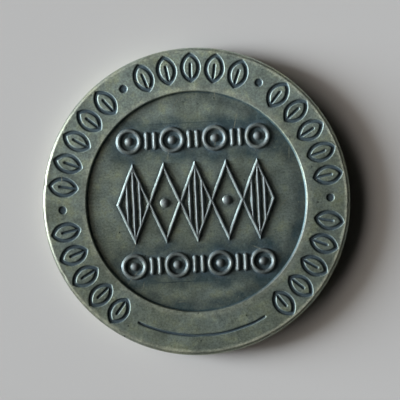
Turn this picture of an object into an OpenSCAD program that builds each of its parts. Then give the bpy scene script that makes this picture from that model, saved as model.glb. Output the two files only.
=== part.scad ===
// Struck brass token: a disc with a flat border, a sunk field and raised relief.
// It lies on its reverse rim, obverse up, with the origin under its middle.

/* [Blank] */
// Diameter of the disc over its edge
blank_d = 30; // [26:0.5:40]
// Thickness from the reverse rim to the obverse border
blank_t = 1.8; // [1.5:0.1:3]
// Radius that the collar leaves along both rims of the edge
edge_r = 0.4; // [0.2:0.05:0.6]

/* [Obverse] */
// Width of the flat border round the sunk field
border_w = 4.2; // [3.6:0.1:6]
// Depth of the sunk field below the border
field_depth = 0.25; // [0.2:0.05:0.5]
// Run of the sloping wall round the sunk field
wall_run = 0.22; // [0.1:0.02:0.6]

/* [Reverse] */
// Width of the raised rim, with its rounded edge
rim_w = 1.6; // [1:0.1:3]
// Depth of the plain field inside the rim
reverse_depth = 0.2; // [0.1:0.05:0.4]

/* [Border marks] */
// Width of the incised outline of a leaf
stroke_w = 0.4; // [0.3:0.05:0.5]
// Depth of the strokes, the dots and the base line
stroke_depth = 0.2; // [0.1:0.05:0.4]
// Bare land between the leaves and the edge
land_out = 0.45; // [0.4:0.05:1]
// Bare land between the leaves and the sunk field
land_in = 0.75; // [0.3:0.05:1]
// Width of a leaf over its outline
leaf_w = 2; // [1.8:0.1:2.2]
// Width of the vein in the middle of a leaf
vein_w = 0.3; // [0.2:0.02:0.36]
// Bare length between the tip of the vein and the tip of the leaf
vein_land = 1; // [0.7:0.05:1.4]
// Leaves in one group
group_leaves = 5; // [2:1:7]
// Pitch of the leaves along the middle of the border
leaf_pitch = 2.35; // [2.3:0.05:3]
// Least pitch from the last leaf of a group to the first of the next
group_gap = 4.4; // [3.4:0.1:8]
// Diameter of the dot between two groups
dot_d = 0.8; // [0.4:0.1:1.2]
// Arc over the top that the groups fill, in degrees
marks_span = 284; // [220:1:290]

/* [Base line] */
// Arc of the incised line below the field, in degrees
line_span = 56; // [20:1:60]
// Width of the incised line
line_w = 0.28; // [0.2:0.02:0.5]

/* [Relief] */
// Height of the ridges above the field
ridge_h = 0.2; // [0.1:0.05:0.25]
// Width of a ridge at its foot
ridge_w = 0.36; // [0.3:0.02:0.5]
// Width of a ridge at its crest
crest_w = 0.16; // [0.1:0.02:0.28]

/* [Lozenge chain] */
// Height of the lozenges in the middle of the field
lozenge_h = 8; // [6:0.2:9]
// Width of one lozenge
lozenge_w = 3.4; // [2.8:0.1:4]
// Least bare land between the ends of the chain and the wall of the field
chain_land = 2.2; // [0.5:0.1:4]
// Pitch of the upright ridges in every other lozenge
ridge_pitch = 0.62; // [0.55:0.01:1]
// Diameter of the stud in the lozenges between them
stud_d = 1; // [0.6:0.1:1.2]

/* [Ring rows] */
// Diameter of a ring in the rows above and below the chain
ring_d = 2.6; // [2.2:0.1:2.8]
// Width of the ridge of a ring or a reel at its foot
ring_ridge_w = 0.5; // [0.36:0.02:0.6]
// Width of that ridge at its crest
ring_crest_w = 0.22; // [0.1:0.02:0.3]
// Diameter of the stud in the middle of a ring
ring_stud_d = 0.9; // [0.5:0.05:1]
// Gap between the chain and a row
row_gap = 0.8; // [0.4:0.1:1.2]
// Gap between a ring and the reel beside it
reel_gap = 0.16; // [0.1:0.02:0.4]
// Pitch of the two reels between a pair of rings
reel_pitch = 0.76; // [0.7:0.02:1]
// Length of a reel, the short ridge between two rings
reel_h = 1.8; // [0.8:0.1:2.2]
// Bare land between the ends of a row and the wall of the field
row_land = 0.35; // [0.2:0.05:1.5]

/* [Hidden] */
$fn = 96;

// How far a cut runs past the face that it opens, and a raised shape sinks into the field
overrun = 0.5;
sink = 0.1;

blank_r = blank_d / 2;
field_r = blank_r - border_w;
floor_r = field_r - wall_run;
floor_z = blank_t - field_depth;
reverse_r = blank_r - rim_w;

leaf_h = border_w - land_out - land_in;
leaf_y = field_r + land_in + leaf_h / 2;
side_r = (leaf_h * leaf_h + leaf_w * leaf_w) / (4 * leaf_w);
side_shift = side_r - leaf_w / 2;

// Angles along the middle of the border
pitch_angle = leaf_pitch / leaf_y * 180 / PI;
gap_angle = group_gap / leaf_y * 180 / PI;
group_angle = (group_leaves - 1) * pitch_angle;
group_count = floor((marks_span + gap_angle) / (group_angle + gap_angle));
group_step = (marks_span - group_angle) / max(1, group_count - 1);
first_angle = -group_step * (group_count - 1) / 2;

// An odd number of lozenges, the middle one on the axis, whose corners lap by one ridge
lozenge_step = lozenge_w - ridge_w;
chain_side = max(0, floor((floor_r - chain_land - lozenge_w / 2) / lozenge_step));

// Half-length of the chord that the field's floor leaves at a height above its middle
function half_chord(y) = sqrt(max(0, floor_r * floor_r - y * y));

// A row is rings with two reels between each pair, as many as its outer chord takes
row_y = lozenge_h / 2 + row_gap + ring_d / 2;
ring_step = ring_d + 2 * reel_gap + reel_pitch + ring_ridge_w;
row_half = half_chord(row_y + reel_h / 2) - row_land;
ring_count = 1 + floor((2 * row_half - ring_d) / ring_step);

// Outline of the disc from its axis to its edge, with both rims rounded
module blank_outline() {
    square([blank_r - edge_r, blank_t]);
    translate([0, edge_r]) square([blank_r, blank_t - 2 * edge_r]);
    for (z = [edge_r, blank_t - edge_r]) {
        translate([blank_r - edge_r, z]) circle(edge_r);
    }
}

// Outline of a sunk field with a sloping wall, its mouth on the line z = 0 and its floor below
module field_outline(mouth_r, depth) {
    polygon([
        [0, overrun],
        [mouth_r, overrun],
        [mouth_r, 0],
        [mouth_r - wall_run, -depth],
        [0, -depth],
    ]);
}

module blank() {
    rotate_extrude() difference() {
        blank_outline();
        translate([0, blank_t]) field_outline(field_r, field_depth);
        mirror([0, 1]) field_outline(reverse_r, reverse_depth);
    }
}

// The space shared by two circles whose middles lie either side of the Y axis
module lens(radius) {
    intersection() {
        translate([-side_shift, 0]) circle(radius);
        translate([side_shift, 0]) circle(radius);
    }
}

// A leaf that points away from the middle of the disc: its outline, and a vein up from its foot
module leaf() {
    difference() {
        lens(side_r);
        lens(side_r - stroke_w);
    }
    foot = stroke_w - leaf_h / 2;
    tip = leaf_h / 2 - vein_land - vein_w / 2;
    translate([-vein_w / 2, foot]) square([vein_w, tip - foot]);
    translate([0, tip]) circle(d = vein_w);
}

// Leaves side by side round one group, whose middle is on +Y
module leaf_group() {
    for (i = [0 : group_leaves - 1]) {
        rotate(i * pitch_angle - group_angle / 2) translate([0, leaf_y]) leaf();
    }
}

module border_marks() {
    for (g = [0 : 1 : group_count - 1]) {
        rotate(first_angle + g * group_step) leaf_group();
    }
    for (g = [0 : 1 : group_count - 2]) {
        rotate(first_angle + (g + 0.5) * group_step) translate([0, leaf_y]) circle(d = dot_d);
    }
}

// The plain line between the first leaf and the last, round the bottom of the border
module base_line() {
    rotate(-90 - line_span / 2) rotate_extrude(angle = line_span) {
        translate([leaf_y - line_w / 2, 0]) square([line_w, stroke_depth + overrun]);
    }
    for (side = [-1, 1]) {
        rotate(side * line_span / 2) translate([0, -leaf_y]) cylinder(d = line_w, h = stroke_depth + overrun);
    }
}

// Section of a raised ridge with sloping flanks, its foot on the line y = 0
module ridge_section(foot_w, top_w) {
    polygon([
        [-foot_w / 2, -sink],
        [foot_w / 2, -sink],
        [foot_w / 2, 0],
        [top_w / 2, ridge_h],
        [-top_w / 2, ridge_h],
        [-foot_w / 2, 0],
    ]);
}

// A straight ridge along Y, its middle at the origin on the floor of the field
module ridge(length, foot_w = ridge_w, top_w = crest_w) {
    rotate([90, 0, 0]) translate([0, 0, -length / 2]) linear_extrude(length) ridge_section(foot_w, top_w);
}

// A domed stud as high as a ridge, cut from a ball whose poles lie along Y
module stud(diameter) {
    radius = (diameter * diameter / 4 + ridge_h * ridge_h) / (2 * ridge_h);
    intersection() {
        translate([0, 0, ridge_h - radius]) rotate([90, 0, 0]) sphere(radius);
        translate([0, 0, -sink]) cylinder(d = diameter, h = ridge_h + overrun);
    }
}

// A ridge bent into a ring, with a stud in its middle
module ring() {
    rotate_extrude() translate([(ring_d - ring_ridge_w) / 2, 0]) ridge_section(ring_ridge_w, ring_crest_w);
    stud(ring_stud_d);
}

// One of the two short ridges between a pair of rings
module reel() {
    ridge(reel_h, ring_ridge_w, ring_crest_w);
}

// The ridge along the upper right side of a lozenge, mitred on the axes where its neighbours meet it
module lozenge_side() {
    side_length = norm([lozenge_w, lozenge_h]) / 2;
    inset = lozenge_w * lozenge_h / 4 / side_length - ridge_w / 2;
    intersection() {
        rotate(atan2(lozenge_w, lozenge_h)) translate([inset, 0, 0]) ridge(2 * side_length);
        translate([0, 0, -sink]) cube([lozenge_w, lozenge_h, sink + ridge_h + overrun]);
    }
}

module lozenge_frame() {
    for (flip_x = [0, 1], flip_y = [0, 1]) {
        mirror([flip_x, 0, 0]) mirror([0, flip_y, 0]) lozenge_side();
    }
}

// Upright ridges that run into the frame at both ends, up to the middle of its crest
module lozenge_flutes() {
    flute_side = floor((lozenge_w / 2 - 2 * ridge_w) / ridge_pitch);
    crest_inset = ridge_w / 2 * norm([lozenge_w, lozenge_h]);
    crest_x = lozenge_w / 2 - crest_inset / lozenge_h;
    crest_y = lozenge_h / 2 - crest_inset / lozenge_w;
    intersection() {
        for (i = [-flute_side : flute_side]) {
            translate([i * ridge_pitch, 0, 0]) ridge(lozenge_h);
        }
        translate([0, 0, -sink]) linear_extrude(sink + ridge_h + overrun) {
            polygon([[crest_x, 0], [0, crest_y], [-crest_x, 0], [0, -crest_y]]);
        }
    }
}

// Lozenges corner on corner along X: fluted ones, and between them ones with a stud
module lozenge_chain() {
    for (i = [-chain_side : chain_side]) {
        fluted = (i + chain_side) % 2 == 0;
        translate([i * lozenge_step, 0, 0]) {
            lozenge_frame();
            if (fluted) lozenge_flutes();
            else stud(stud_d);
        }
    }
}

// Rings in a row along X, with a pair of reels between each two
module ring_row() {
    first_x = -ring_step * (ring_count - 1) / 2;
    for (i = [0 : 1 : ring_count - 1]) {
        translate([first_x + i * ring_step, 0, 0]) ring();
    }
    for (i = [0 : 1 : ring_count - 2]) {
        for (side = [-1, 1]) {
            translate([first_x + (i + 0.5) * ring_step + side * reel_pitch / 2, 0, 0]) reel();
        }
    }
}

module token() {
    color("#6a705c") {
        difference() {
            blank();
            translate([0, 0, blank_t - stroke_depth]) {
                linear_extrude(stroke_depth + overrun) border_marks();
                base_line();
            }
        }
        translate([0, 0, floor_z]) {
            lozenge_chain();
            for (side = [-1, 1]) {
                translate([0, side * row_y, 0]) ring_row();
            }
        }
    }
}

token();
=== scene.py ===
"""Looks of a struck brass token: a worn and toned disc with an incised border and raised relief."""

import math
from collections import namedtuple
from types import SimpleNamespace

import bpy
import numpy as np
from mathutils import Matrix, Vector
from mathutils.geometry import delaunay_2d_cdt


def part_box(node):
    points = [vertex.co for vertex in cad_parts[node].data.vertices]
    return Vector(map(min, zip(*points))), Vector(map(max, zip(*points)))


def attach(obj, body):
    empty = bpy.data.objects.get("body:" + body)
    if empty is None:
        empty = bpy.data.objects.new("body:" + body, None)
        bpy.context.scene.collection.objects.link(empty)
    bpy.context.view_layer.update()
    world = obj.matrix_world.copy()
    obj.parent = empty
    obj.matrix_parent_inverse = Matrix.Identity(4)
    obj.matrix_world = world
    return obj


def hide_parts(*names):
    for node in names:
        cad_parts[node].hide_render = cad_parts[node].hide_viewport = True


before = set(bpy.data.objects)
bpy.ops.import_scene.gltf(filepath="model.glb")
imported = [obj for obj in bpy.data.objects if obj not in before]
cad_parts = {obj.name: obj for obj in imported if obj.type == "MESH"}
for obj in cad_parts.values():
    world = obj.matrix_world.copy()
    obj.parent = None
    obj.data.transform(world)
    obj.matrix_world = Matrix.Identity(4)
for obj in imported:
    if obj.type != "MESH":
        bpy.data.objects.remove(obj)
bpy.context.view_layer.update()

# Lengths are in millimetres until Blender gets them, which takes metres
MM = 0.001
blank_low, blank_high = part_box("token")
BLANK_R = round((blank_high.x - blank_low.x) / 2 / MM, 3)
BLANK_T = round(blank_high.z / MM, 3)

# The blank: rounded rims, a flat border round a sunk field, a rim and a plain field behind
EDGE_R = 0.4
BORDER_W = 4.2
FIELD_DEPTH = 0.25
WALL_RUN = 0.22
WALL_ROUND = 0.05
WALL_HOLLOW = 2.2
RIM_W = 1.6
REVERSE_DEPTH = 0.2
RIM_R = BLANK_R - EDGE_R
FIELD_R = BLANK_R - BORDER_W
FLOOR_R = FIELD_R - WALL_RUN
FLOOR_Z = BLANK_T - FIELD_DEPTH
REVERSE_R = BLANK_R - RIM_W

# Incised marks on the border, filled with grime up to a level below it
STROKE_W = 0.4
STROKE_DEPTH = 0.2
STROKE_LIP = 0.03
STROKE_WALL = 0.17
GRIME_LEVEL = 0.11
GRIME_ROUND = 0.03
LAND_OUT = 0.45
LAND_IN = 0.75
LEAF_W = 2.0
VEIN_W = 0.3
VEIN_LAND = 1.0
GROUP_LEAVES = 5
LEAF_PITCH = 2.35
GROUP_GAP = 4.4
DOT_D = 0.8
MARKS_SPAN = math.radians(284)
LINE_SPAN = math.radians(56)
LINE_W = 0.28
LEAF_H = BORDER_W - LAND_OUT - LAND_IN
LEAF_Y = FIELD_R + LAND_IN + LEAF_H / 2
SIDE_R = (LEAF_H ** 2 + LEAF_W ** 2) / (4 * LEAF_W)
SIDE_SHIFT = SIDE_R - LEAF_W / 2
VEIN_FOOT = STROKE_W - LEAF_H / 2
VEIN_TIP = LEAF_H / 2 - VEIN_LAND - VEIN_W / 2
PITCH_ANGLE = LEAF_PITCH / LEAF_Y
GROUP_ANGLE = (GROUP_LEAVES - 1) * PITCH_ANGLE
GAP_ANGLE = GROUP_GAP / LEAF_Y
GROUP_COUNT = math.floor((MARKS_SPAN + GAP_ANGLE) / (GROUP_ANGLE + GAP_ANGLE))
GROUP_STEP = (MARKS_SPAN - GROUP_ANGLE) / (GROUP_COUNT - 1)
FIRST_ANGLE = -GROUP_STEP * (GROUP_COUNT - 1) / 2

# Raised relief in the field
RIDGE_H = 0.2
RIDGE_W = 0.36
CREST_W = 0.16
RIDGE_ROUND = 0.07
FOOT_ROUND = 0.05
LOZENGE_H = 8.0
LOZENGE_W = 3.4
CHAIN_LAND = 2.2
RIDGE_PITCH = 0.62
STUD_D = 1.0
RING_D = 2.6
RING_RIDGE_W = 0.5
RING_CREST_W = 0.22
RING_ROUND = 0.06
RING_STUD_D = 0.9
ROW_GAP = 0.8
REEL_GAP = 0.16
REEL_PITCH = 0.76
REEL_H = 1.8
ROW_LAND = 0.35
LOZENGE_STEP = LOZENGE_W - RIDGE_W
CHAIN_SIDE = math.floor((FLOOR_R - CHAIN_LAND - LOZENGE_W / 2) / LOZENGE_STEP)
LOZENGE_DIAGONAL = math.hypot(LOZENGE_W, LOZENGE_H)
SIDE_NORMAL = (LOZENGE_H / LOZENGE_DIAGONAL, LOZENGE_W / LOZENGE_DIAGONAL)
CREST_INSET = LOZENGE_W * LOZENGE_H / (2 * LOZENGE_DIAGONAL) - RIDGE_W / 2
FLUTE_SIDE = math.floor((LOZENGE_W / 2 - 2 * RIDGE_W) / RIDGE_PITCH)
ROW_Y = LOZENGE_H / 2 + ROW_GAP + RING_D / 2
RING_STEP = RING_D + 2 * REEL_GAP + REEL_PITCH + RING_RIDGE_W
ROW_HALF = math.sqrt(FLOOR_R ** 2 - (ROW_Y + REEL_H / 2) ** 2) - ROW_LAND
RING_COUNT = 1 + math.floor((2 * ROW_HALF - RING_D) / RING_STEP)
RING_CREST_R = (RING_D - RING_RIDGE_W) / 2

# Spacing of the mesh: levels are distances into a shape, and shares run from its foot to its top
EDGE_STEPS = 600
EDGE_ROUND_ROWS = 9
EDGE_LAND_ROWS = 4
LEAST_CORNERS = 6
HULL_TRIANGLES = 0
WELD_DISTANCE = 1e-5
MARK_REACH = RIM_R - 0.03
ROW_SPACING = 0.14
FILL_SPACING = 0.28
FILL_CLEAR_OF_WALL = 0.04
REVERSE_SPACING = 0.6
REVERSE_ROW_SPACING = 3 * ROW_SPACING
REVERSE_WALL_SHARES = np.linspace(-0.2, 1.2, 8)
STROKE_LEVELS = (-0.12, -0.06, -0.02, 0.015, 0.045, 0.075, 0.105, 0.14)
FLANK_SHARES = (-0.6, -0.25, 0.0, 0.3, 0.6, 0.8, 0.95, 1.1, 1.35)
WALL_SHARES = (-0.3, 0.0, 0.15, 0.3, 0.45, 0.6, 0.73, 0.84, 0.93, 1.0, 1.1, 1.3)
STUD_LEVELS = (-0.1, -0.04, 0.0, 0.04, 0.1, 0.17, 0.25, 0.32, 0.4, 0.47)

# Circles round a dent and the spacing along them, as shares of its size
DENT_SHARES = (0.02, 0.5, 1.0, 1.6)
DENT_STEP = 0.6
DENT_REACH = 2

# Wear that the mesh carries: a steepness is a depth as a share of the width
SEED = 7
DENT_COUNT = 70
DENT_FREE_MIDDLE = 0.02
DENT_LEAST = 0.05
DENT_SPREAD = 0.12
DENT_STEEPNESS = (0.04, 0.14)
NICK_COUNT = 26
NICK_WIDTH = (0.08, 0.4)
NICK_STEEPNESS = (0.05, 0.2)
WAVE_COUNT = 14
WAVE_LENGTH = (2.2, 8.0)
WAVE_H = 0.0022
WANDER_LENGTH = (1.2, 4.0)
WANDER_W = 0.0045
WANDER_CLEAR_OF_WALL = 1.0

# A halo fades out at its reach from a shape, and a belt runs round the disc at a radius
Halo = namedtuple("Halo", "share reach fade")
Belt = namedtuple("Belt", "radius half_width")
MOUTH_FADE = 0.08
WALL_HALO = Halo(share=1.0, reach=1.5, fade=1.1)
WALL_FOOT = Belt(radius=FLOOR_R + 0.12, half_width=0.12)
WALL_TOP = Belt(radius=FIELD_R - 0.06, half_width=0.1)
WALL_ARRIS = Belt(radius=FIELD_R - 0.02, half_width=0.08)
RIM_BELT = Belt(radius=RIM_R + 0.04, half_width=0.16)
INNER_BELT = Belt(radius=FIELD_R + 0.2, half_width=0.3)

# Grime in the marks, and the stain that it leaves along them
GRIME_START = 0.005
GRIME_FADE = 0.055
STAIN = Halo(share=0.6, reach=0.15, fade=0.16)

# Dark toning of the field and painted shade, with what is added per millimetre to the right and downwards
TONE_FLOOR = 0.08
# painted shade: the field darkens towards the right, away from the light
FIELD_SHADE_RIGHT = 0.012
TONE_NEAR = 0.38
ROW_TONE = Halo(share=1.0, reach=1.8, fade=1.3)
CHAIN_TONE = Halo(share=0.2, reach=0.8, fade=0.7)
WALL_TONE_MIDDLE = 0.42
WALL_TONE_RIGHT = 0.03
WALL_TONE_DOWN = 0.05
CREASE_TONE = 0.04
CREASE_W = 0.14
# grime in the crease at the wall's foot, with painted shade that darkens the line there
FOOT_TONE_AND_SHADE = 0.35
TONE_HEIGHT = 0.1
TONE_HEIGHT_FADE = 0.08

# Brown tarnish and painted shade round the edge and along the wall, and a painted highlight on the wall's
# lit side
EDGE_BROWN = Halo(share=1.0, reach=0.4, fade=0.2)
EDGE_BROWN_MIDDLE = 0.38
# painted shade: more brown on the left edge, which dims the rim's highlight there
EDGE_SHADE_LEFT = 0.03
EDGE_BROWN_LEAST = 0.08
WALL_BROWN_MIDDLE = 0.26
WALL_BROWN_RIGHT = 0.02
# grime at the wall's foot, with painted shade
FOOT_BROWN_AND_SHADE = 0.5
# painted shade on the top of the wall's right side, which dims its highlight
TOP_BROWN_AND_SHADE = 0.42
TOP_BROWN_FADE = 5.0
TOP_BROWN_MOST = 0.9
# painted highlight: how far the wall's dark tints are lifted above the middle of its right side and deepened
# below it
HIGHLIGHT_SHIFT_ABOVE = 0.14
HIGHLIGHT_SHIFT_BELOW = 0.1

# Bluish oxide, rubbed metal and scuffed metal, with painted shade on the wall's arris and painted light on
# the rims
BLUE = Halo(share=0.42, reach=0.4, fade=0.35)
RUB_HEIGHT = 0.01
RUB_FADE = 0.06
RUB_CLEAR_OF_WALL = 0.2
ROW_TOP_LEVEL = 0.12
ROW_TOP_FADE = 0.08
ROW_TOP_CLEAN = 0.35
# painted shade: the arris's dark rubbed tint, growing towards the lit right side
ARRIS_SHADE = 0.5
ARRIS_SHADE_RISE_LEFT = 0.3
ARRIS_SHADE_RISE_RIGHT = 0.15
# painted highlight: how much that shift changes the arris's dark tint
ARRIS_HIGHLIGHT_SHIFT = 0.8
RIM_SCUFF = 0.68
# painted light: the rims' pale scuff grows towards the right and the bottom and shrinks on the left
RIM_LIGHT_LEAN = 0.016
INNER_SCUFF = 0.5
INNER_SCUFF_DEPTH = 0.06

# Colours of the metal and of what lies on it; the dark tints also serve as painted shade, the scuffed one as
# painted light
OLIVE = (0.343, 0.39, 0.305, 1.0)
GREY_GREEN = (0.428, 0.505, 0.442, 1.0)
KHAKI = (0.395, 0.415, 0.235, 1.0)
TARNISH_AND_SHADE = (0.063, 0.1, 0.107, 1.0)
GRIME = (0.051, 0.076, 0.089, 1.0)
BLUED = (0.15, 0.205, 0.24, 1.0)
BROWNED_AND_SHADE = (0.145, 0.14, 0.105, 1.0)
RUBBED_AND_SHADE = (0.13, 0.136, 0.138, 1.0)
PITTED = (0.03, 0.04, 0.042, 1.0)
SCUFFED_AND_PAINTED_LIGHT = (0.41, 0.405, 0.30, 1.0)

# Noises over the metal, per millimetre
Noise = namedtuple("Noise", "scale detail rough")
PATCHES = Noise(scale=0.32, detail=4, rough=0.55)
BLOTCHES = Noise(scale=0.6, detail=5, rough=0.72)
CLOUDS = Noise(scale=0.42, detail=5, rough=0.62)
GRAIN = Noise(scale=5.2, detail=3, rough=0.8)
WORN = Noise(scale=1.5, detail=3, rough=0.7)
SPECKS = Noise(scale=2.2, detail=2, rough=0.55)
HAIRLINES = Noise(scale=1.0, detail=3, rough=0.55)
HAIRLINE_STRETCH = (7.0, 0.25, 1.0)

# Spans of a noise or a layer, and what they are spread over
FULL = (0.0, 1.0)
FADE_OUT = (1.0, 0.0)
MIDDLE = (0.3, 0.7)
CORE = (0.32, 0.68)
TONE_BREAK = (0.65, 1.3)
DIRT_BREAK = (0.85, 1.0)
RUB_SPAN = (0.25, 0.75)
RUB_BREAK = (0.6, 1.0)
DULL_SPAN = (0.3, 0.6)
DULL_BREAK = (0.6, 1.0)
KHAKI_SPAN = (0.45, 0.7)
KHAKI_SHARE = (0.0, 0.6)
TONE_SPAN = (0.0, 0.7)
SPECK_SPAN = (0.66, 0.72)
# Painted light: the metal is paler and brighter towards the top, along this axis
TOP_LIGHT_AXIS = (-0.05, 1.0, 0.0)
TOP_LIGHT_PALER = 0.006
TOP_LIGHT_SPAN = (-0.2 * BLANK_R, BLANK_R)
TOP_LIGHT_SHADE = (1.0, 1.42)
BLOTCH_SHADE = (0.88, 1.12)
GRAIN_SHADE = (0.74, 1.26)

# Roughness, metal and bump
BLOTCH_ROUGH = (0.38, 0.46)
GRAIN_ROUGH = (-0.03, 0.05)
TONE_ROUGH_SPAN = (0.25, 0.65)
TONE_ROUGH = (0.0, 0.12)
DIRT_ROUGH_SPAN = (0.1, 0.8)
DIRT_ROUGH = (0.0, 0.24)
WORN_ROUGH_SPAN = (0.35, 0.65)
WORN_ROUGH = (0.08, 0.34)
DULL_ROUGH = (0.0, 0.18)
METAL = 0.84
DULL_METAL_LOSS = (0.0, 0.12)
DIRT_METAL_SPAN = (0.3, 1.0)
DIRT_METAL_LOSS = (0.0, 0.5)
GRAIN_BUMP = 0.8
HAIRLINE_BUMP = 0.2
BUMP_H = 0.01

# Scratches, seam lines, pits, specks and flecks, and the share of colour that each takes
SCRATCH_W = 0.07
SCRATCH_CORE = 0.3
SCRATCH_FULL = 0.4
SCRATCH_COUNT = 26
SCRATCH_AREA = 1.9
SCRATCH_TURN = 0.2
SCRATCH_TURN_SPREAD = 0.7
SCRATCH_LENGTH = (0.8, 3.0)
SCRATCH_SHARE = 0.5
SEAM_TURN = math.pi / 2
UPPER_SEAM = (0.4, ROW_Y + 1.6)
UPPER_SEAM_LENGTH = 14.0
LOWER_SEAM = (-0.6, -ROW_Y - 1.65)
LOWER_SEAM_LENGTH = 12.0
SEAM_SHARE = 0.6
SPECK_SHARE = 0.35
DOT_CHOICE = (0.74, 0.78)
DOT_CORE = 0.5
PIT_SCALE = 0.42
PIT_R = 0.1
PIT_SHARE = 0.8
FLECK_SCALE = 0.5
FLECK_R = 0.07
FLECK_SHARE = 0.6

# The camera looks straight down on a square picture, in which the disc has this place and size
PICTURE = 400
DISC_CENTRE = (196.5, 201.4)
DISC_RADIUS = 154.1
ROLL = math.radians(-2.7)
LENS = 180.0
SENSOR = 36.0
CLIP_START = 1.0
CLIP_END = 10000.0

# The floor
STAGE_HALF = 3000.0
STAGE_COLOUR = (0.63, 0.60, 0.575, 1.0)
STAGE_ROUGH = 0.9

# A low soft key from the left, a window above it, a dim room and a pale horizon
KEY_AZIMUTH = math.radians(176.5) + ROLL
KEY_ELEVATION = math.radians(13)
KEY_ANGLE = math.radians(25)
KEY_STRENGTH = 8.4
KEY_COLOUR = (0.82, 0.915, 1.0)
WINDOW_SIDE = (0.5, 0.8)
WINDOW_SILL = (0.2, 0.45)
WINDOW_HEAD = (0.66, 0.84)
WINDOW_GLOW = (0.0, 3.0)
WINDOW_COLOUR = (1.0, 0.95, 0.89)
ROOM_SIDE = (-0.3, 0.3)
ROOM_GLOW = (0.0015, 0.008)
ROOM_COLOUR = (1.0, 0.96, 0.9)
HORIZON = (0.03, 0.12)
HORIZON_COLOUR = (0.22, 0.217, 0.21, 1.0)


def leaf_angles():
    """Angles of the leaves round the border, from the top and counter-clockwise."""
    angles = []
    for group in range(GROUP_COUNT):
        start = FIRST_ANGLE + group * GROUP_STEP - GROUP_ANGLE / 2
        angles += [start + leaf * PITCH_ANGLE for leaf in range(GROUP_LEAVES)]
    return angles


def dot_angles():
    return [FIRST_ANGLE + (group + 0.5) * GROUP_STEP for group in range(GROUP_COUNT - 1)]


def lozenge_middles():
    return [step * LOZENGE_STEP for step in range(-CHAIN_SIDE, CHAIN_SIDE + 1)]


def flute_lines():
    """Middle and half-length of each upright ridge in the fluted lozenges, up to the frame's crest."""
    lines = []
    for middle in lozenge_middles()[::2]:
        for flute in range(-FLUTE_SIDE, FLUTE_SIDE + 1):
            offset = flute * RIDGE_PITCH
            half = (CREST_INSET - abs(offset) * SIDE_NORMAL[0]) / SIDE_NORMAL[1]
            lines.append((middle + offset, 0.0, half))
    return lines


def ring_middles():
    """Middle of each ring in the rows above and below the chain."""
    along = [(index - (RING_COUNT - 1) / 2) * RING_STEP for index in range(RING_COUNT)]
    return [(x, y) for y in (-ROW_Y, ROW_Y) for x in along]


def reel_lines():
    """Middle and half-length of each short ridge between two rings, without its round ends."""
    half = (REEL_H - RING_RIDGE_W) / 2
    lines = []
    for left, row_y in ring_middles():
        if left + RING_STEP < ROW_HALF:
            for side in (-0.5, 0.5):
                lines.append((left + RING_STEP / 2 + side * REEL_PITCH, row_y, half))
    return lines


def studs():
    """Middle and radius of each stud, in the rings and in the chain."""
    in_rings = [(x, y, RING_STUD_D / 2) for x, y in ring_middles()]
    in_chain = [(x, 0.0, STUD_D / 2) for x in lozenge_middles()[1::2]]
    return in_rings + in_chain


def smooth(share):
    """A ramp from 0 to 1 with level ends."""
    share = np.clip(share, 0.0, 1.0)
    return share * share * (3.0 - 2.0 * share)


def turned(x, y, angle):
    """Coordinates in a frame whose second axis points from the disc's middle at that angle."""
    return x * math.cos(angle) + y * math.sin(angle), y * math.cos(angle) - x * math.sin(angle)


def upright_distance(x, y, line):
    """Distance from an upright line with a middle and a half-length."""
    middle_x, middle_y, half = line
    beyond = np.maximum(np.abs(y - middle_y) - half, 0.0)
    return np.hypot(x - middle_x, beyond)


def leaf_edge(u, v):
    """How far inside a leaf's strokes a point lies, below 0 outside them."""
    reach = np.maximum(np.hypot(u + SIDE_SHIFT, v), np.hypot(u - SIDE_SHIFT, v))
    outline = STROKE_W / 2 - np.abs(reach - (SIDE_R - STROKE_W / 2))
    vein_line = (0.0, (VEIN_FOOT + VEIN_TIP) / 2, (VEIN_TIP - VEIN_FOOT) / 2)
    return np.maximum(outline, VEIN_W / 2 - upright_distance(u, v, vein_line))


def base_line_edge(x, y):
    """How far inside the base line a point lies, below 0 outside it."""
    angle = np.clip(np.arctan2(x, -y), -LINE_SPAN / 2, LINE_SPAN / 2)
    return LINE_W / 2 - np.hypot(x - LEAF_Y * np.sin(angle), y + LEAF_Y * np.cos(angle))


def stroke_edge(x, y):
    """How far inside the nearest incised mark a point lies, below 0 outside all of them."""
    edge = base_line_edge(x, y)
    for angle in leaf_angles():
        u, outward = turned(x, y, angle)
        edge = np.maximum(edge, leaf_edge(u, outward - LEAF_Y))
    for angle in dot_angles():
        u, outward = turned(x, y, angle)
        edge = np.maximum(edge, DOT_D / 2 - np.hypot(u, outward - LEAF_Y))
    return edge


def far_outside(x):
    """An edge distance for points that no shape is near yet."""
    return np.full(np.shape(x), -2.0 * BLANK_R)


def chain_edge(x, y):
    """How far inside the foot of the chain's nearest ridge a point lies, below 0 outside all of them."""
    half = RIDGE_W / 2
    edge = far_outside(x)
    for middle in lozenge_middles():
        reach = np.abs(x - middle) * SIDE_NORMAL[0] + np.abs(y) * SIDE_NORMAL[1]
        edge = np.maximum(edge, half - np.abs(reach - CREST_INSET))
    for line in flute_lines():
        edge = np.maximum(edge, half - upright_distance(x, y, line))
    return edge


def row_edge(x, y):
    """How far inside the foot of the nearest ring or reel a point lies, below 0 outside all of them."""
    half = RING_RIDGE_W / 2
    edge = far_outside(x)
    for line in reel_lines():
        edge = np.maximum(edge, half - upright_distance(x, y, line))
    for middle_x, middle_y in ring_middles():
        edge = np.maximum(edge, half - np.abs(np.hypot(x - middle_x, y - middle_y) - RING_CREST_R))
    return edge


def stud_edge(x, y):
    """How far inside the foot of the nearest stud a point lies, below 0 outside all of them."""
    edge = far_outside(x)
    for middle_x, middle_y, radius in studs():
        edge = np.maximum(edge, radius - np.hypot(x - middle_x, y - middle_y))
    return edge


def relief_edge(x, y):
    """How far inside the foot of the nearest raised shape a point lies, below 0 outside all of them."""
    return np.maximum(np.maximum(chain_edge(x, y), row_edge(x, y)), stud_edge(x, y))


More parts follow.
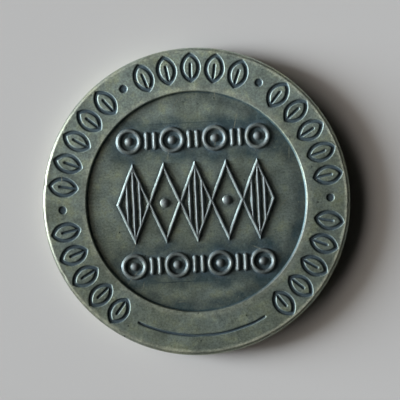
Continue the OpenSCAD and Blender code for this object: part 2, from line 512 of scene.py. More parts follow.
def soft_least(first, second, blend):
    """The lesser of two heights, with their corner rounded over a blend of heights."""
    share = np.clip(0.5 + 0.5 * (second - first) / blend, 0.0, 1.0)
    return second + (first - second) * share - blend * share * (1.0 - share)


def ramped(edge, run, rise, top_round, foot_round):
    """A slope from 0 up to a rise over a run, with its top and its foot rounded."""
    slope = soft_least(rise, edge * rise / run, top_round)
    return -soft_least(0.0, -slope, foot_round)


def ridge_height(edge, foot_w, crest_w, top_round):
    """Height of a ridge with a level crest and sloping flanks."""
    return ramped(edge, (foot_w - crest_w) / 2, RIDGE_H, top_round, FOOT_ROUND)


def stud_height(x, y):
    """Height of the studs, each a cap of a ball."""
    height = np.zeros(np.shape(x))
    for middle_x, middle_y, radius in studs():
        ball = (radius ** 2 + RIDGE_H ** 2) / (2 * RIDGE_H)
        away = np.hypot(x - middle_x, y - middle_y)
        cap = np.sqrt(np.maximum(ball ** 2 - away ** 2, 0.0)) - (ball - RIDGE_H)
        height = np.maximum(height, cap)
    return height


def draw_dents(random):
    """Small knocks on the border and the field: place, radius and depth."""
    radius = RIM_R * np.sqrt(random.uniform(DENT_FREE_MIDDLE, 1.0, DENT_COUNT))
    angle = random.uniform(0.0, 2 * math.pi, DENT_COUNT)
    size = DENT_LEAST + DENT_SPREAD * random.uniform(0.0, 1.0, DENT_COUNT) ** 2
    depth = size * random.uniform(*DENT_STEEPNESS, DENT_COUNT)
    return np.column_stack((radius * np.cos(angle), radius * np.sin(angle), size, depth))


def draw_waves(random, lengths):
    """Waves across the disc: heading, length and phase."""
    heading = random.uniform(0.0, 2 * math.pi, WAVE_COUNT)
    length = random.uniform(*lengths, WAVE_COUNT)
    phase = random.uniform(0.0, 2 * math.pi, WAVE_COUNT)
    return np.column_stack((heading, length, phase))


def draw_nicks(random):
    """Knocks round the upper rim: angle, half-width along the rim and depth."""
    angle = random.uniform(0.0, 2 * math.pi, NICK_COUNT)
    width = random.uniform(*NICK_WIDTH, NICK_COUNT)
    depth = width * random.uniform(*NICK_STEEPNESS, NICK_COUNT)
    return np.column_stack((angle, width, depth))


draws = np.random.default_rng(SEED)
DENTS = draw_dents(draws)
WAVES = draw_waves(draws, WAVE_LENGTH)
NICKS = draw_nicks(draws)
WANDERS = draw_waves(draws, WANDER_LENGTH)


def dent_depth(x, y):
    depth = np.zeros(np.shape(x))
    for dent_x, dent_y, size, deepest in DENTS:
        away = ((x - dent_x) ** 2 + (y - dent_y) ** 2) / size ** 2
        depth = np.maximum(depth, deepest * np.exp(-away))
    return depth


def swing(x, y, heading, length, phase):
    """A wave across the disc, from -1 to 1."""
    along = x * math.cos(heading) + y * math.sin(heading)
    return np.sin(2 * math.pi * along / length + phase)


def wave_depth(x, y):
    """Long shallow waves that keep the struck faces from being perfectly flat."""
    total = np.zeros(np.shape(x))
    for wave in WAVES:
        total += 1.0 + swing(x, y, *wave)
    return total * WAVE_H / 2


def wandered(vertices):
    """The same vertices, those within the rim moved a little sideways as hand-cut lines run."""
    x, y, z = vertices.T
    radius = np.hypot(x, y)
    clear_of_wall = smooth(np.abs(radius - FIELD_R) / WANDER_CLEAR_OF_WALL)
    reach = WANDER_W * smooth((RIM_R - radius) / EDGE_R) * clear_of_wall
    shift_x = np.zeros(len(x))
    shift_y = np.zeros(len(x))
    for heading, length, phase in WANDERS:
        aside = reach * swing(x, y, heading, length, phase)
        shift_x -= aside * math.sin(heading)
        shift_y += aside * math.cos(heading)
    return np.column_stack((x + shift_x, y + shift_y, z))


def wall_height(radius):
    """Height of the field's wall above the floor, hollowed towards its foot."""
    share = np.maximum(radius - FLOOR_R, 0.0) / WALL_RUN
    return soft_least(FIELD_DEPTH * share ** WALL_HOLLOW, FIELD_DEPTH, WALL_ROUND)


def stroke_depth(x, y):
    """Depth of the incised marks, before grime settles in them."""
    return STROKE_DEPTH * smooth((stroke_edge(x, y) + STROKE_LIP) / (STROKE_WALL + STROKE_LIP))


def obverse_height(x, y):
    """Height of the struck face above the reverse rim, with grime in the bottom of the marks."""
    height = FLOOR_Z + wall_height(np.hypot(x, y))
    height -= soft_least(stroke_depth(x, y), GRIME_LEVEL, GRIME_ROUND)
    chain = ridge_height(chain_edge(x, y), RIDGE_W, CREST_W, RIDGE_ROUND)
    rows = ridge_height(row_edge(x, y), RING_RIDGE_W, RING_CREST_W, RING_ROUND)
    height += np.maximum(np.maximum(chain, rows), stud_height(x, y))
    return height - wave_depth(x, y) - dent_depth(x, y)


def reverse_height(x, y):
    """Height of the plain face behind, with its rim down."""
    share = (REVERSE_R - np.hypot(x, y)) / WALL_RUN
    return REVERSE_DEPTH * smooth(share) + wave_depth(x, y) + dent_depth(-x, y)


class Plan:
    """Places that a face is triangulated through, and the lines that its edges follow."""

    def __init__(self):
        self.places = []
        self.edges = []

    def scatter(self, x, y):
        self.places += zip(np.ravel(x).tolist(), np.ravel(y).tolist())

    def line(self, x, y, closed=False, reach=math.inf):
        """A row of places and the edges along it, without what lies past a reach from the middle."""
        kept = np.hypot(x, y) < reach
        number = len(self.places) + np.cumsum(kept) - 1
        self.scatter(x[kept], y[kept])
        linked = kept & np.roll(kept, -1)
        linked[-1] &= closed
        self.edges += zip(number[linked].tolist(), np.roll(number, -1)[linked].tolist())

    def triangles(self):
        """Places, triangles, and for each given place its number among the places."""
        vectors = [Vector(place) for place in self.places]
        result = delaunay_2d_cdt(vectors, self.edges, [], HULL_TRIANGLES, WELD_DISTANCE)
        made, _, faces, origins, _, _ = result
        number = np.zeros(len(vectors), int)
        for index, given in enumerate(origins):
            number[given] = index
        return np.array([place[:] for place in made]), np.array(faces), number


def arc(radius, start, end):
    """Points along an arc, both ends included, as angles from the first axis."""
    count = max(2, math.ceil(abs(end - start) * radius / ROW_SPACING) + 1)
    angle = np.linspace(start, end, count)
    return radius * np.cos(angle), radius * np.sin(angle)


def ring_of(count, radius):
    """Points evenly round a circle."""
    angle = np.arange(count) * 2 * math.pi / count
    return radius * np.cos(angle), radius * np.sin(angle)


def circle(radius, spacing=ROW_SPACING):
    return ring_of(max(LEAST_CORNERS, math.ceil(2 * math.pi * radius / spacing)), radius)


def straight(start, end):
    """Points along a straight line, without its end."""
    count = max(1, math.ceil(math.dist(start, end) / ROW_SPACING))
    share = np.arange(count) / count
    return start[0] + share * (end[0] - start[0]), start[1] + share * (end[1] - start[1])


def joined(*runs):
    return np.concatenate([run[0] for run in runs]), np.concatenate([run[1] for run in runs])


def lens_row(level):
    """A loop at one level of a leaf's outline: two arcs that meet at its tips."""
    radius = SIDE_R - STROKE_W / 2 + level
    half = math.acos(SIDE_SHIFT / radius)
    right_x, right_y = arc(radius, -half, half)
    left_x, left_y = arc(radius, math.pi - half, math.pi + half)
    right = (right_x[:-1] - SIDE_SHIFT, right_y[:-1])
    left = (left_x[:-1] + SIDE_SHIFT, left_y[:-1])
    return joined(right, left)


def hairpin_row(offset, foot, tip):
    """Up one side of an upright stroke, round its tip and down the other side."""
    up = straight((offset, foot), (offset, tip))
    round_x, round_y = arc(offset, 0.0, math.pi)
    down = straight((-offset, tip), (-offset, foot))
    return joined(up, (round_x, round_y + tip), (down[0][1:], down[1][1:]))


def capsule_row(offset, half):
    """A loop at one distance from an upright line."""
    up = straight((offset, -half), (offset, half))
    top_x, top_y = arc(offset, 0.0, math.pi)
    down = straight((-offset, half), (-offset, -half))
    low_x, low_y = arc(offset, math.pi, 2 * math.pi)
    top = (top_x[:-1], top_y[:-1] + half)
    low = (low_x[:-1], low_y[:-1] - half)
    return joined(up, top, down, low)


def lozenge_row(reach):
    """A loop at one distance of a lozenge's sides from its middle."""
    right = (reach / SIDE_NORMAL[0], 0.0)
    top = (0.0, reach / SIDE_NORMAL[1])
    left = (-right[0], 0.0)
    low = (0.0, -top[1])
    return joined(straight(right, top), straight(top, left), straight(left, low), straight(low, right))


def placed(row, angle):
    """A row of a mark, moved out to the middle of the border and turned round the disc."""
    x = row[0]
    y = row[1] + LEAF_Y
    return x * math.cos(angle) - y * math.sin(angle), x * math.sin(angle) + y * math.cos(angle)


def plan_leaf(plan, angle):
    """Rows along both sides and the middle of a leaf's outline, and round its vein."""
    for level in STROKE_LEVELS:
        for side in (-1, 1):
            row = placed(lens_row(side * (STROKE_W / 2 - level)), angle)
            plan.line(*row, closed=True, reach=MARK_REACH)
    plan.line(*placed(lens_row(0.0), angle), closed=True)
    for level in STROKE_LEVELS[:-1]:
        plan.line(*placed(hairpin_row(VEIN_W / 2 - level, VEIN_FOOT, VEIN_TIP), angle))


def plan_base_line(plan, offset):
    """A loop at one distance from the base line, with round ends."""
    start = -math.pi / 2 - LINE_SPAN / 2
    end = -math.pi / 2 + LINE_SPAN / 2
    outer = arc(LEAF_Y + offset, start, end)
    inner = arc(LEAF_Y - offset, end, start)
    right_x, right_y = arc(offset, end, end + math.pi)
    left_x, left_y = arc(offset, start + math.pi, start + 2 * math.pi)
    right = (right_x[1:-1] + LEAF_Y * math.cos(end), right_y[1:-1] + LEAF_Y * math.sin(end))
    left = (left_x[1:-1] + LEAF_Y * math.cos(start), left_y[1:-1] + LEAF_Y * math.sin(start))
    plan.line(*joined(outer, right, inner, left), closed=True)


def plan_border(plan):
    """Rows along the incised marks."""
    for angle in leaf_angles():
        plan_leaf(plan, angle)
    for angle in dot_angles():
        for level in STROKE_LEVELS:
            plan.line(*placed(circle(DOT_D / 2 - level, ROW_SPACING / 2), angle), closed=True)
    for level in STROKE_LEVELS[:-1]:
        plan_base_line(plan, LINE_W / 2 - level)


def offsets(foot_w, crest_w):
    """Distances of the rows from the crest line of a ridge, to one side of it."""
    return [foot_w / 2 - share * (foot_w - crest_w) / 2 for share in FLANK_SHARES]


def both_sides(aside):
    """The crest line and the rows on both sides of it."""
    return [0.0] + aside + [-away for away in aside]


def plan_upright(plan, line, aside):
    """Rows along an upright ridge and round its ends."""
    x, y, half = line
    plan.line(*straight((x, y - half), (x, y + half)))
    for offset in aside:
        row_x, row_y = capsule_row(offset, half)
        plan.line(row_x + x, row_y + y, closed=True)


def plan_circle(plan, x, y, radius):
    ring_x, ring_y = circle(radius, min(ROW_SPACING, radius))
    plan.line(ring_x + x, ring_y + y, closed=True)


def plan_chain(plan):
    """Rows along the frames and the upright ridges of the lozenges."""
    aside = offsets(RIDGE_W, CREST_W)
    for middle in lozenge_middles():
        for offset in both_sides(aside):
            x, y = lozenge_row(CREST_INSET + offset)
            plan.line(x + middle, y, closed=True)
    for line in flute_lines():
        plan_upright(plan, line, aside)


def plan_rows(plan):
    """Rows along the reels and round the rings."""
    aside = offsets(RING_RIDGE_W, RING_CREST_W)
    for line in reel_lines():
        plan_upright(plan, line, aside)
    for x, y in ring_middles():
        for offset in both_sides(aside):
            plan_circle(plan, x, y, RING_CREST_R + offset)


def plan_studs(plan):
    """Circles up the studs."""
    for x, y, radius in studs():
        for level in STUD_LEVELS:
            if level < radius:
                plan_circle(plan, x, y, radius - level)


def plan_wall(plan):
    """Circles up the sloping wall of the field."""
    for share in WALL_SHARES:
        plan.line(*circle(FLOOR_R + share * WALL_RUN), closed=True)


def plan_dents(plan):
    """A few circles round each dent that is clear of the rim."""
    for dent_x, dent_y, size, _ in DENTS:
        if np.hypot(dent_x, dent_y) + DENT_REACH * size < RIM_R:
            for share in DENT_SHARES:
                ring_x, ring_y = circle(share * size, DENT_STEP * size)
                plan.scatter(ring_x + dent_x, ring_y + dent_y)


def lattice(radius, spacing):
    """Points of a triangular lattice within a radius."""
    rise = spacing * math.sqrt(0.75)
    rows = math.ceil(radius / rise)
    columns = math.ceil(radius / spacing) + 1
    row, column = np.mgrid[-rows:rows + 1, -columns:columns + 1]
    x = (column + 0.5 * (row % 2)) * spacing
    y = row * rise
    inside = np.hypot(x, y) < radius
    return x[inside], y[inside]


def plan_fill(plan):
    """Lattice points over what the rows leave bare."""
    x, y = lattice(RIM_R - FILL_SPACING / 2, FILL_SPACING)
    clear_of_rows = FILL_SPACING / 3 - STROKE_LEVELS[0]
    nearest = np.maximum(stroke_edge(x, y), relief_edge(x, y))
    from_wall = np.abs(np.hypot(x, y) - (FLOOR_R + WALL_RUN / 2)) - WALL_RUN / 2
    bare = (nearest < -clear_of_rows) & (from_wall > FILL_CLEAR_OF_WALL + clear_of_rows / 2)
    plan.scatter(x[bare], y[bare])


def obverse_face():
    plan = Plan()
    plan.line(*ring_of(EDGE_STEPS, RIM_R), closed=True)
    plan_wall(plan)
    plan_border(plan)
    plan_chain(plan)
    plan_rows(plan)
    plan_studs(plan)
    plan_dents(plan)
    plan_fill(plan)
    return plan.triangles()


def reverse_face():
    plan = Plan()
    plan.line(*ring_of(EDGE_STEPS, RIM_R), closed=True)
    for share in REVERSE_WALL_SHARES:
        plan.line(*circle(REVERSE_R - share * WALL_RUN, REVERSE_ROW_SPACING), closed=True)
    plan.scatter(*lattice(REVERSE_R - 2 * WALL_RUN, REVERSE_SPACING))
    return plan.triangles()


def edge_profile():
    """Radius and height down the edge, between the upper and the lower rim."""
    turns = np.linspace(0.0, math.pi / 2, EDGE_ROUND_ROWS + 1)[1:]
    turn_z = BLANK_T - EDGE_R
    upper = [(RIM_R + EDGE_R * math.sin(turn), turn_z + EDGE_R * math.cos(turn)) for turn in turns]
    land = [(BLANK_R, z) for z in np.linspace(turn_z, EDGE_R, EDGE_LAND_ROWS + 2)[1:-1]]
    lower = [(radius, BLANK_T - z) for radius, z in reversed(upper)]
    return upper + land + lower


def nick_depth(angle):
    depth = np.zeros(np.shape(angle))
    for nick_angle, width, deepest in NICKS:
        away = np.angle(np.exp(1j * (angle - nick_angle))) * BLANK_R / width
        depth = np.maximum(depth, deepest * np.exp(-away ** 2))
    return depth


def edge_rings():
    """Vertices of the rounded edge, ring by ring, with nicks along its upper rim."""
    angle = np.arange(EDGE_STEPS) * 2 * math.pi / EDGE_STEPS
    rings = []
    for radius, z in edge_profile():
        up_rim = max(0.0, z - BLANK_T + EDGE_R) / EDGE_R
        cut = nick_depth(angle) * math.sin(math.pi * up_rim)
        x, y = ring_of(EDGE_STEPS, radius - cut)
        rings.append(np.column_stack((x, y, z - cut)))
    return np.concatenate(rings)


def band(upper, lower):
    """Triangles between two rings of vertex numbers, the first above the second."""
    next_upper = np.roll(upper, -1)
    next_lower = np.roll(lower, -1)
    return np.concatenate((
        np.column_stack((upper, lower, next_lower)),
        np.column_stack((upper, next_lower, next_upper)),
    ))


def token_mesh():
    """The whole skin of the token: struck face, edge and plain face, welded along both rims."""
    face, face_triangles, face_number = obverse_face()
    back, back_triangles, back_number = reverse_face()
    edge = edge_rings()
    front = np.column_stack((face, obverse_height(*face.T)))
    rear = np.column_stack((back, reverse_height(*back.T)))
    first_edge = len(front)
    first_rear = first_edge + len(edge)
    rings = [face_number[:EDGE_STEPS]]
    rings += list(np.arange(first_edge, first_rear).reshape(-1, EDGE_STEPS))
    rings.append(first_rear + back_number[:EDGE_STEPS])
    bands = [band(upper, lower) for upper, lower in zip(rings, rings[1:])]
    vertices = np.concatenate((front, edge, rear))
    triangles = np.concatenate([face_triangles, *bands, first_rear + back_triangles[:, ::-1]])
    return vertices, triangles


def close_to(edge, halo):
    """A halo's share at a distance into a shape, which is below 0 outside it."""
    return halo.share * smooth((halo.reach + edge) / halo.fade)


def round_at(radius, belt):
    """1 in the middle of a belt, falling off to both sides."""
    return np.exp(-((radius - belt.radius) / belt.half_width) ** 2)


def on_obverse(z):
    return z > BLANK_T / 2


def in_field(radius, z):
    """1 in the sunk field, falling off at its mouth."""
    return smooth((FIELD_R - radius) / MOUTH_FADE) * on_obverse(z)


def wall_highlight_shift(x, y):
    """Painted highlight: how much the dark tints are lifted from the wall above the middle of its right
    side, below 0 where deepened.
    """
    return np.where(y > 0.0, HIGHLIGHT_SHIFT_ABOVE, HIGHLIGHT_SHIFT_BELOW) * y * (np.maximum(x, 0.0) / FIELD_R) ** 2


def grime(vertices):
    """Dark matter that stays in the incised marks and stains the metal along them."""
    x, y, z = vertices.T
    filled = smooth((stroke_depth(x, y) - GRIME_START) / GRIME_FADE)
    return np.maximum(filled, close_to(stroke_edge(x, y), STAIN)) * on_obverse(z)


def toning_and_shade(vertices):
    """Dark toning that polishing leaves in the field, round the relief and along the wall, and painted shade
    to the right and at the wall's foot.
    """
    x, y, z = vertices.T
    radius = np.hypot(x, y)
    by_wall = WALL_TONE_MIDDLE + WALL_TONE_RIGHT * x + WALL_TONE_DOWN * np.maximum(-y, 0.0)
    near_wall = by_wall * close_to(radius - FLOOR_R, WALL_HALO)
    near_relief = np.maximum(close_to(row_edge(x, y), ROW_TONE), close_to(chain_edge(x, y), CHAIN_TONE))
    outside = np.maximum(-relief_edge(x, y), 0.0)
    creases = CREASE_TONE * np.exp(-(outside / CREASE_W) ** 2)
    # painted shade: darker towards the right
    floor_tone_and_shade = TONE_FLOOR + FIELD_SHADE_RIGHT * np.maximum(x, 0.0) + creases
    floor_tone_and_shade += TONE_NEAR * np.maximum(near_relief, near_wall)
    below_crests = smooth((FLOOR_Z + TONE_HEIGHT - z) / TONE_HEIGHT_FADE)
    # the band at the wall's foot: grime with painted shade
    return (floor_tone_and_shade * below_crests + FOOT_TONE_AND_SHADE * round_at(radius, WALL_FOOT)) * in_field(radius, z)


def browning_and_shade(vertices):
    """Brown tarnish round the edge and along the field's wall, with painted shade on the lit left edge and
    the wall's right top.
    """
    x, y, z = vertices.T
    radius = np.hypot(x, y)
    # painted shade: browner towards the left, where the rim catches the light
    by_edge = np.maximum(EDGE_BROWN_MIDDLE - EDGE_SHADE_LEFT * x, EDGE_BROWN_LEAST)
    round_edge = by_edge * close_to(radius - BLANK_R, EDGE_BROWN)
    by_wall = WALL_BROWN_MIDDLE + WALL_BROWN_RIGHT * x
    near_wall = by_wall * close_to(radius - FLOOR_R, WALL_HALO)
    on_wall = np.maximum(near_wall, FOOT_BROWN_AND_SHADE * round_at(radius, WALL_FOOT)) * in_field(radius, z)
    # painted shade on the wall's lit right top, lifted above its middle and deepened below
    by_top = np.clip(TOP_BROWN_AND_SHADE * smooth(x / TOP_BROWN_FADE) - wall_highlight_shift(x, y), 0.0, TOP_BROWN_MOST)
    on_top = by_top * round_at(radius, WALL_TOP) * (z > FLOOR_Z)
    return np.maximum(np.maximum(round_edge, on_top), on_wall)


def bluing(vertices):
    """Bluish oxide on the flanks of the relief and close round it."""
    x, y, z = vertices.T
    return close_to(relief_edge(x, y), BLUE) * on_obverse(z)


def wear_and_arris_shade(vertices):
    """Rubbed metal on the relief, less on ring and reel tops, and on the wall's arris a dark tint that is
    also painted shade on the lit right.
    """
    x, y, z = vertices.T
    radius = np.hypot(x, y)
    crests = smooth((z - FLOOR_Z - RUB_HEIGHT) / RUB_FADE) * (radius < FLOOR_R - RUB_CLEAR_OF_WALL)
    crests *= 1.0 - ROW_TOP_CLEAN * smooth((row_edge(x, y) - ROW_TOP_LEVEL) / ROW_TOP_FADE)
    # painted shade: more dark tint on the arris's right side, which the light strikes
    rise = np.where(x > 0.0, ARRIS_SHADE_RISE_RIGHT, ARRIS_SHADE_RISE_LEFT) * x / FIELD_R
    # painted highlight: less dark tint above the middle of the right side, more below
    arris_shade = np.clip(ARRIS_SHADE + rise - ARRIS_HIGHLIGHT_SHIFT * wall_highlight_shift(x, y), 0.0, 1.0)
    return np.maximum(crests, arris_shade * round_at(radius, WALL_ARRIS) * (z > FLOOR_Z))


def scuff_and_rim_light(vertices):
    """Dull pale metal where handling has worn both rims and the inner side of the border, the rims paler to
    the right and bottom as painted light.
    """
    x, y, z = vertices.T
    radius = np.hypot(x, y)
    # painted light: paler rims towards the right and the bottom, less on the left
    rims = (RIM_SCUFF + RIM_LIGHT_LEAN * (x - y)) * round_at(radius, RIM_BELT)
    inner = INNER_SCUFF * round_at(radius, INNER_BELT) * (z > BLANK_T - INNER_SCUFF_DEPTH)
    return np.maximum(rims, inner)


def make_token():
    """The token's mesh, with the layers of wear, grime and painted light and shade as values at its points.
    """
    vertices, triangles = token_mesh()
    mesh = bpy.data.meshes.new("struck_token")
    mesh.from_pydata((wandered(vertices) * MM).tolist(), [], triangles.tolist())
    for layer in (grime, toning_and_shade, browning_and_shade, bluing, wear_and_arris_shade, scuff_and_rim_light):
        values = layer(vertices).astype(np.float32)
        mesh.attributes.new(layer.__name__, "FLOAT", "POINT").data.foreach_set("value", values)
    mesh.shade_smooth()
    token = bpy.data.objects.new("struck_token", mesh)
    bpy.context.scene.collection.objects.link(token)
    return token


class Nodes:
    """Short ways to add nodes to the tree of a material or of the world."""

    def __init__(self, owner):
        owner.use_nodes = True
        self.tree = owner.node_tree

    def give(self, socket, value):
        """Gives a socket a value, or a link from another socket."""
        if isinstance(value, bpy.types.NodeSocket):
            self.tree.links.new(value, socket)
        else:
            socket.default_value = value

    def add(self, kind, inputs=None, **settings):
        """Adds a node, sets it up, and gives each named input a value or a link."""
        node = self.tree.nodes.new(kind)
        for name, value in settings.items():
            setattr(node, name, value)
        for name, value in (inputs or {}).items():
            self.give(node.inputs[name], value)
        return node

    def attribute(self, name):
        return self.add("ShaderNodeAttribute", attribute_name=name).outputs["Fac"]

    def noise(self, place, pattern):
        inputs = {"Scale": pattern.scale, "Detail": pattern.detail, "Roughness": pattern.rough}
        return self.add("ShaderNodeTexNoise", {"Vector": place, **inputs}).outputs["Fac"]

    def ramp(self, value, span, to=FULL):
        """A span of the value, spread smoothly over another span and held at its ends."""
        inputs = {"Value": value, "From Min": span[0], "From Max": span[1], "To Min": to[0], "To Max": to[1]}
        return self.add("ShaderNodeMapRange", inputs, interpolation_type="SMOOTHSTEP").outputs["Result"]

    def number(self, operation, first, second=0.0):
        """Arithmetic on one or two numbers."""
        return self.add("ShaderNodeMath", {0: first, 1: second}, operation=operation).outputs[0]

    def times(self, first, second):
        return self.number("MULTIPLY", first, second)

    def total(self, first, *others):
        for other in others:
            first = self.number("ADD", first, other)
        return first

    def vector(self, operation, first, second):
        """A node for arithmetic on two vectors."""
        return self.add("ShaderNodeVectorMath", {0: first, 1: second}, operation=operation)

    def scaled(self, vector, factor):
        """A place or a colour, made larger or lighter by a factor."""
        return self.add("ShaderNodeVectorMath", {0: vector, "Scale": factor}, operation="SCALE").outputs[0]

    def mixed(self, share, first, second):
        """A colour between two colours."""
        return self.add("ShaderNodeMix", data_type="RGBA", inputs={0: share, 6: first, 7: second}).outputs[2]


def dots(nodes, place, scale, radius):
    """Small round dots at random places, in about one cell of four."""
    cells = nodes.add("ShaderNodeTexVoronoi", {"Vector": place, "Scale": scale}, voronoi_dimensions="2D")
    cell_value = nodes.add("ShaderNodeSeparateColor", {0: cells.outputs["Color"]}).outputs[0]
    chosen = nodes.ramp(cell_value, DOT_CHOICE)
    reach = radius * scale
    near = nodes.ramp(cells.outputs["Distance"], (reach * DOT_CORE, reach), FADE_OUT)
    return nodes.times(near, chosen)


def scratch(nodes, place, middle, turn, length):
    """One straight hair-thin line, strongest along its middle and faint towards its ends."""
    inputs = {"Vector": place, "Location": (*middle, 0.0), "Rotation": (0.0, 0.0, turn)}
    moved = nodes.add("ShaderNodeMapping", inputs, vector_type="TEXTURE").outputs[0]
    axes = nodes.add("ShaderNodeSeparateXYZ", {0: moved}).outputs
    half = length / 2
    across = nodes.ramp(nodes.number("ABSOLUTE", axes["X"]), (SCRATCH_W * SCRATCH_CORE, SCRATCH_W), FADE_OUT)
    along = nodes.ramp(nodes.number("ABSOLUTE", axes["Y"]), (half * SCRATCH_FULL, half), FADE_OUT)
    return nodes.times(across, along)


def scratches(nodes, place):
    """Scratches strewn over both faces."""
    random = np.random.default_rng(SEED + 1)
    found = 0.0
    for _ in range(SCRATCH_COUNT):
        radius = FLOOR_R * math.sqrt(random.uniform(0.0, SCRATCH_AREA))
        angle = random.uniform(0.0, 2 * math.pi)
        middle = (radius * math.cos(angle), radius * math.sin(angle))
        turn = random.normal(SCRATCH_TURN, SCRATCH_TURN_SPREAD)
        line = scratch(nodes, place, middle, turn, random.uniform(*SCRATCH_LENGTH))
        found = nodes.number("MAXIMUM", line, found)
    return found


def seams(nodes, place):
    """Two faint lines across the field, above and below the rows of rings."""
    upper = scratch(nodes, place, UPPER_SEAM, SEAM_TURN, UPPER_SEAM_LENGTH)
    lower = scratch(nodes, place, LOWER_SEAM, SEAM_TURN, LOWER_SEAM_LENGTH)
    return nodes.number("MAXIMUM", upper, lower)


def brass_patterns(nodes, place):
    """Noises over the metal, and the mesh's layers broken up by them."""
    seen = SimpleNamespace()
    seen.patches = nodes.noise(place, PATCHES)
    seen.blotches = nodes.noise(place, BLOTCHES)
    seen.grain = nodes.noise(place, GRAIN)
    seen.worn = nodes.noise(place, WORN)
    seen.hairlines = nodes.noise(nodes.vector("MULTIPLY", place, HAIRLINE_STRETCH).outputs[0], HAIRLINES)
    # painted light: how far a point lies towards the top, where the metal is painted lighter
    seen.lean = nodes.vector("DOT_PRODUCT", place, TOP_LIGHT_AXIS).outputs["Value"]
    clouds = nodes.noise(place, CLOUDS)
    seen.tone = nodes.times(nodes.attribute("toning_and_shade"), nodes.ramp(clouds, CORE, TONE_BREAK))
    seen.dirt = nodes.times(nodes.attribute("grime"), nodes.ramp(clouds, CORE, DIRT_BREAK))
    seen.rub = nodes.times(nodes.attribute("wear_and_arris_shade"), nodes.ramp(seen.grain, RUB_SPAN, RUB_BREAK))
    seen.dull = nodes.times(nodes.attribute("scuff_and_rim_light"), nodes.ramp(seen.blotches, DULL_SPAN, DULL_BREAK))
    return seen


def tarnished_colour(nodes, seen):
    """Olive, grey-green and khaki metal under scuffs, tarnish, oxide and grime, paler towards the top as
    painted light.
    """
    # painted light: paler towards the top
    pale = nodes.total(seen.patches, nodes.times(seen.lean, TOP_LIGHT_PALER))
    colour = nodes.mixed(nodes.ramp(pale, CORE), OLIVE, GREY_GREEN)
    colour = nodes.mixed(nodes.ramp(seen.blotches, KHAKI_SPAN, KHAKI_SHARE), colour, KHAKI)
    colour = nodes.mixed(seen.dull, colour, SCUFFED_AND_PAINTED_LIGHT)
    colour = nodes.mixed(nodes.attribute("browning_and_shade"), colour, BROWNED_AND_SHADE)
    colour = nodes.mixed(nodes.ramp(seen.tone, TONE_SPAN), colour, TARNISH_AND_SHADE)
    colour = nodes.mixed(nodes.attribute("bluing"), colour, BLUED)
    return nodes.mixed(nodes.ramp(seen.dirt, FULL), colour, GRIME)


def marked_colour(nodes, place, colour):
    """The colour with scratches, specks, seam lines, pits and flecks on it."""
    marks = (
        (scratches(nodes, place), SCRATCH_SHARE, SCUFFED_AND_PAINTED_LIGHT),
        (nodes.ramp(nodes.noise(place, SPECKS), SPECK_SPAN), SPECK_SHARE, TARNISH_AND_SHADE),
        (seams(nodes, place), SEAM_SHARE, TARNISH_AND_SHADE),
        (dots(nodes, place, PIT_SCALE, PIT_R), PIT_SHARE, PITTED),
        (dots(nodes, place, FLECK_SCALE, FLECK_R), FLECK_SHARE, SCUFFED_AND_PAINTED_LIGHT),
    )
    for where, share, tint in marks:
        colour = nodes.mixed(nodes.times(where, share), colour, tint)
    return colour


def brass_colour(nodes, place, seen):
    """The tarnished and marked colour, rubbed on the crests, uneven in brightness and painted brighter
    towards the top.
    """
    colour = marked_colour(nodes, place, tarnished_colour(nodes, seen))
    colour = nodes.mixed(seen.rub, colour, RUBBED_AND_SHADE)
    # painted light: brighter towards the top
    colour = nodes.scaled(colour, nodes.ramp(seen.lean, TOP_LIGHT_SPAN, TOP_LIGHT_SHADE))
    colour = nodes.scaled(colour, nodes.ramp(seen.blotches, MIDDLE, BLOTCH_SHADE))
    return nodes.scaled(colour, nodes.ramp(seen.grain, MIDDLE, GRAIN_SHADE))


def brass_roughness(nodes, seen):
    return nodes.total(
        nodes.ramp(seen.blotches, MIDDLE, BLOTCH_ROUGH),
        nodes.ramp(seen.grain, MIDDLE, GRAIN_ROUGH),
        nodes.ramp(seen.tone, TONE_ROUGH_SPAN, TONE_ROUGH),
        nodes.ramp(seen.dirt, DIRT_ROUGH_SPAN, DIRT_ROUGH),
        nodes.times(seen.rub, nodes.ramp(seen.worn, WORN_ROUGH_SPAN, WORN_ROUGH)),
        nodes.ramp(seen.dull, FULL, DULL_ROUGH),
    )


def brass_metal(nodes, seen):
    """How metallic the surface is: less where it is scuffed or grimy."""
    metal = nodes.number("SUBTRACT", METAL, nodes.ramp(seen.dull, FULL, DULL_METAL_LOSS))
    return nodes.number("SUBTRACT", metal, nodes.ramp(seen.dirt, DIRT_METAL_SPAN, DIRT_METAL_LOSS))


def brass_normal(nodes, seen):
    """Fine grain and hairlines as a slight bump."""
    grain = nodes.times(seen.grain, GRAIN_BUMP)
    hairlines = nodes.times(seen.hairlines, HAIRLINE_BUMP)
    inputs = {"Height": nodes.total(grain, hairlines), "Strength": 1.0, "Distance": BUMP_H * MM}
    return nodes.add("ShaderNodeBump", inputs).outputs["Normal"]


def brass_material():
    """Aged brass: olive with grey-green and khaki patches, dark toning and rubbed crests, with painted light
    and shade in places.
    """
    material = bpy.data.materials.new("aged_brass")
    nodes = Nodes(material)
    place = nodes.scaled(nodes.add("ShaderNodeTexCoord").outputs["Object"], 1 / MM)
    seen = brass_patterns(nodes, place)
    inputs = nodes.tree.nodes["Principled BSDF"].inputs
    nodes.give(inputs["Base Color"], brass_colour(nodes, place, seen))
    nodes.give(inputs["Roughness"], brass_roughness(nodes, seen))
    nodes.give(inputs["Metallic"], brass_metal(nodes, seen))
    nodes.give(inputs["Normal"], brass_normal(nodes, seen))
    return material


def floor_material():
    material = bpy.data.materials.new("pale_floor")
    inputs = Nodes(material).tree.nodes["Principled BSDF"].inputs
    inputs["Base Color"].default_value = STAGE_COLOUR
    inputs["Roughness"].default_value = STAGE_ROUGH
    inputs["Specular IOR Level"].default_value = 0.0
    return material


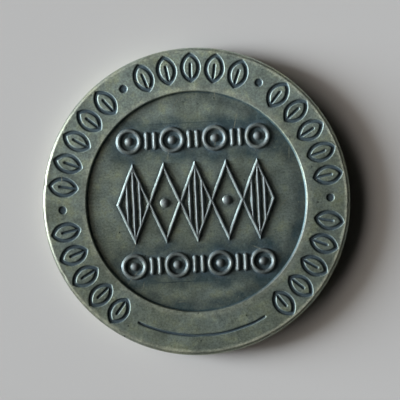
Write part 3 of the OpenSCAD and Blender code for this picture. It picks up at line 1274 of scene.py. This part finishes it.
def make_floor():
    mesh = bpy.data.meshes.new("floor")
    half = STAGE_HALF * MM
    corners = [(-half, -half, 0.0), (half, -half, 0.0), (half, half, 0.0), (-half, half, 0.0)]
    mesh.from_pydata(corners, [], [(0, 1, 2, 3)])
    floor = bpy.data.objects.new("floor", mesh)
    floor.data.materials.append(floor_material())
    bpy.context.scene.collection.objects.link(floor)
    return floor


def make_camera():
    """A camera that looks straight down and has the disc at its place in the picture."""
    pixel = BLANK_R / DISC_RADIUS
    right = (PICTURE / 2 - DISC_CENTRE[0]) * pixel
    up = (DISC_CENTRE[1] - PICTURE / 2) * pixel
    data = bpy.data.cameras.new("camera")
    data.lens = LENS
    data.sensor_width = SENSOR
    data.clip_start = CLIP_START * MM
    data.clip_end = CLIP_END * MM
    camera = bpy.data.objects.new("camera", data)
    height = BLANK_T + LENS / SENSOR * PICTURE * pixel
    x = right * math.cos(ROLL) - up * math.sin(ROLL)
    y = right * math.sin(ROLL) + up * math.cos(ROLL)
    camera.location = (x * MM, y * MM, height * MM)
    camera.rotation_euler = (0.0, 0.0, ROLL)
    bpy.context.scene.collection.objects.link(camera)
    bpy.context.scene.camera = camera


def make_key():
    """A broad soft light, low on the left."""
    data = bpy.data.lights.new("low_key", "SUN")
    data.energy = KEY_STRENGTH
    data.angle = KEY_ANGLE
    data.color = KEY_COLOUR
    key = bpy.data.objects.new("low_key", data)
    key.rotation_euler = (math.pi / 2 - KEY_ELEVATION, 0.0, KEY_AZIMUTH + math.pi / 2)
    bpy.context.scene.collection.objects.link(key)


def make_world():
    """A dim room with a window on the side of the key, pale along the horizon."""
    world = bpy.data.worlds.new("room")
    bpy.context.scene.world = world
    nodes = Nodes(world)
    direction = nodes.add("ShaderNodeTexCoord").outputs["Generated"]
    to_key = (math.cos(KEY_AZIMUTH), math.sin(KEY_AZIMUTH), 0.0)
    side = nodes.vector("DOT_PRODUCT", direction, to_key).outputs["Value"]
    height = nodes.add("ShaderNodeSeparateXYZ", {0: direction}).outputs["Z"]
    opening = nodes.times(nodes.ramp(height, WINDOW_SILL), nodes.ramp(height, WINDOW_HEAD, FADE_OUT))
    glow = nodes.times(nodes.ramp(side, WINDOW_SIDE, WINDOW_GLOW), opening)
    window = nodes.scaled(WINDOW_COLOUR, glow)
    room = nodes.scaled(ROOM_COLOUR, nodes.ramp(side, ROOM_SIDE, ROOM_GLOW))
    colour = nodes.vector("ADD", room, window).outputs[0]
    colour = nodes.mixed(nodes.ramp(height, HORIZON, FADE_OUT), colour, HORIZON_COLOUR)
    nodes.give(nodes.tree.nodes["Background"].inputs["Color"], colour)


make_camera()
make_key()
make_world()
floor = make_floor()

token = make_token()
token.data.materials.append(brass_material())
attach(token, "root")
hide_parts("token")

bpy.context.scene.view_settings.view_transform = "Standard"
